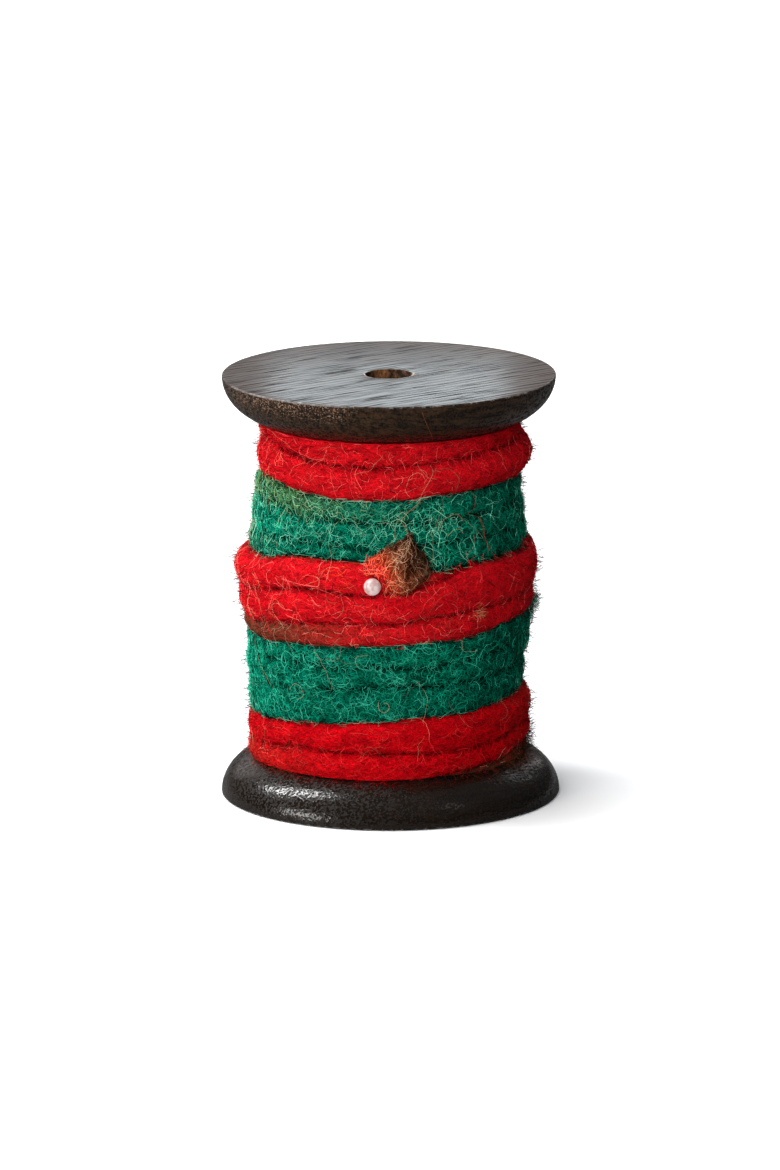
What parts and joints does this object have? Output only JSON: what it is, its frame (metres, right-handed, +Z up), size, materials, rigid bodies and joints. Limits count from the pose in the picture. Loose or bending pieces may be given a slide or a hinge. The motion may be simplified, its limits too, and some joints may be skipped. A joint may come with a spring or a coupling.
{
  "type": "roll of fleece ribbon on a wooden spool",
  "caption": "Thick, soft fleece ribbon wound in slanting turns on a turned wooden spool with a bore, its frayed end held by a pin with a round head.",
  "frame": {"origin": "centre of the spool's base, on the surface that it stands on", "axes": "+Z up along the spool's axis; -Y towards the side with the pin; +X to the right of that side"},
  "size_m": [0.08, 0.08, 0.1005],
  "materials": {
    "stained_wood": "dark stained and waxed, satin",
    "raw_wood": "unfinished, as bored",
    "fleece": "loose hairy wool, red and green in turn with brown between",
    "fleece_end": "frayed wool, orange red to dark brown",
    "pearl": "pearly white gloss",
    "pin_steel": "bright drawn wire"
  },
  "bodies": {
    "root": {"flange_bottom": "stained_wood", "flange_top": "stained_wood", "barrel": "raw_wood", "wound_ribbon": "fleece", "loose_end": "fleece_end", "pin_head": "pearl", "pin_shank": "pin_steel"}
  },
  "joints": []
}
